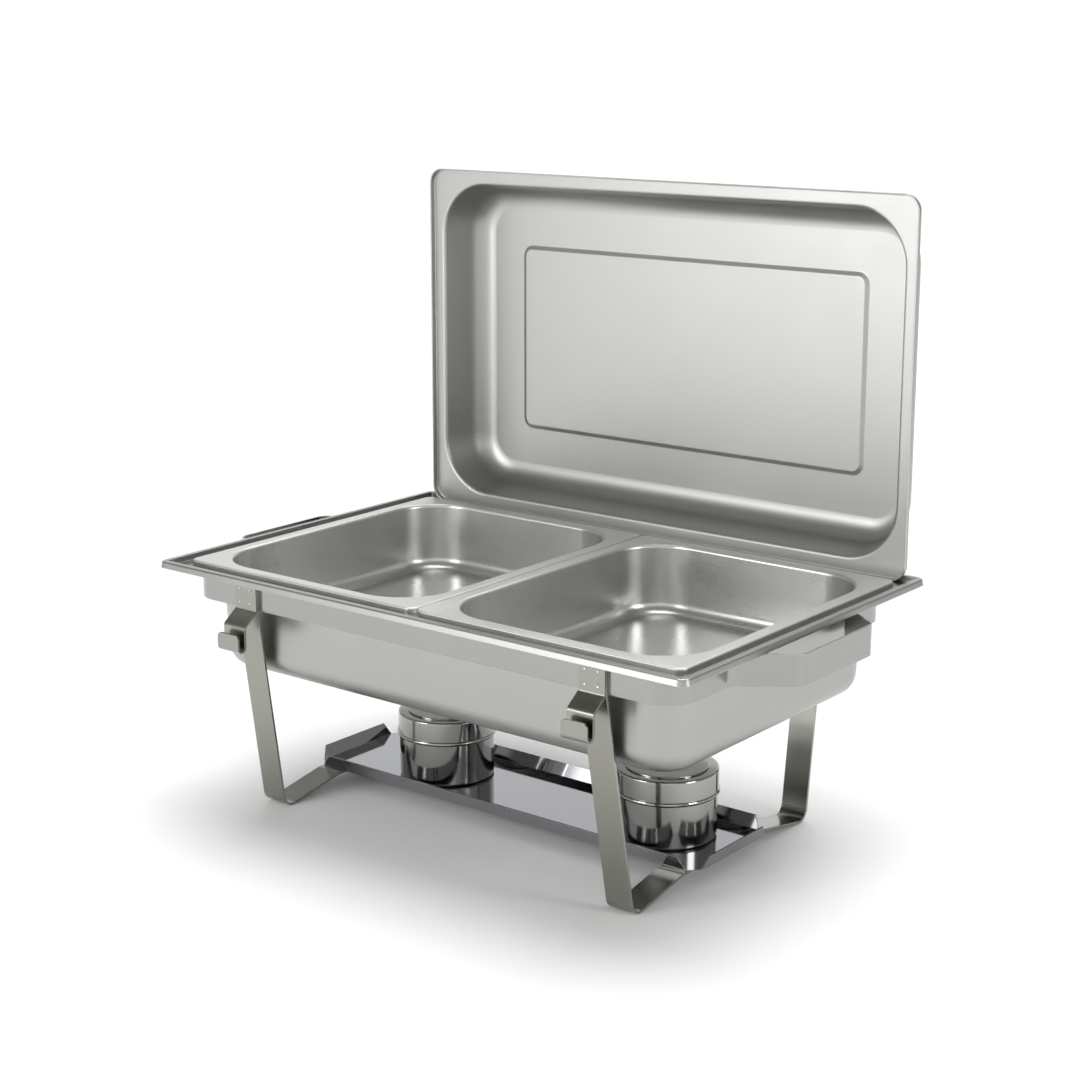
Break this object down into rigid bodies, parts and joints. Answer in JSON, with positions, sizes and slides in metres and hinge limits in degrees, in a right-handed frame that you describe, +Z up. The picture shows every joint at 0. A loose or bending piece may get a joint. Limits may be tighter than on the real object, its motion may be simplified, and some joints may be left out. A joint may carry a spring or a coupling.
{
  "type": "chafing dish food warmer",
  "caption": "Stainless chafing dish: bar stand with carrying grips, water pan, half-size food pans, upright lid, fuel holders on a shelf.",
  "frame": {"origin": "bottom centre of the whole object's box with the lid standing open: on the floor under the feet, half way along X and half way from the front hooks to the lid handle", "axes": "+X along the long side from left to right as seen from the front, +Y from the front to the standing lid at the rear, +Z up"},
  "size_m": [0.6114, 0.447, 0.5485],
  "materials": {
    "pan_steel": "satin pressed stainless steel sheet",
    "band_steel": "satin stainless steel strip",
    "bar_steel": "satin stainless steel flat bar",
    "mirror_sheet": "mirror-polished stainless steel sheet",
    "burner_steel": "polished stainless steel",
    "rivet_steel": "tumbled steel"
  },
  "bodies": {
    "stand": {"stand_band": "band_steel", "leg_bar_left": "bar_steel", "leg_bar_right": "bar_steel", "lid_hook_front_left": "bar_steel", "lid_hook_front_right": "bar_steel", "lid_hook_rear_left": "bar_steel", "lid_hook_rear_right": "bar_steel", "fuel_tray": "mirror_sheet"},
    "bath": {"water_pan": "pan_steel"},
    "left_pan": {"food_pan_left": "pan_steel"},
    "right_pan": {"food_pan_right": "pan_steel"},
    "cover": {"lid": "pan_steel", "lid_handle": "bar_steel"},
    "left_holder": {"fuel_cup_left": "burner_steel", "fuel_cap_left": "burner_steel", "snuffer_rivet_left": "rivet_steel"},
    "left_snuffer": {"snuffer_disc_left": "burner_steel"},
    "right_holder": {"fuel_cup_right": "burner_steel", "fuel_cap_right": "burner_steel", "snuffer_rivet_right": "rivet_steel"},
    "right_snuffer": {"snuffer_disc_right": "burner_steel"}
  },
  "joints": [
    {"name": "water_pan_lift", "type": "slide", "parent": "stand", "child": "bath", "axis": [0, 0, 1], "range_m": [0, 0.12]},
    {"name": "food_pan_left_lift", "type": "slide", "parent": "bath", "child": "left_pan", "axis": [0, 0, 1], "range_m": [0, 0.09]},
    {"name": "food_pan_right_lift", "type": "slide", "parent": "bath", "child": "right_pan", "axis": [0, 0, 1], "range_m": [0, 0.09]},
    {"name": "lid_hinge", "type": "hinge", "parent": "bath", "child": "cover", "pos_m": [0, 0.13475, 0.2148], "axis": [-1, 0, 0], "range_deg": [-90, 0]},
    {"name": "fuel_holder_left_lift", "type": "slide", "parent": "stand", "child": "left_holder", "axis": [0, -0.7071, 0.7071], "range_m": [0, 0.06]},
    {"name": "snuffer_left_swing", "type": "hinge", "parent": "left_holder", "child": "left_snuffer", "pos_m": [-0.10538, -0.00592, 0.0762], "axis": [0, 0, 1], "range_deg": [0, 120]},
    {"name": "fuel_holder_right_lift", "type": "slide", "parent": "stand", "child": "right_holder", "axis": [0, -0.7071, 0.7071], "range_m": [0, 0.06]},
    {"name": "snuffer_right_swing", "type": "hinge", "parent": "right_holder", "child": "right_snuffer", "pos_m": [0.13762, -0.00392, 0.0762], "axis": [0, 0, 1], "range_deg": [0, 120]}
  ]
}
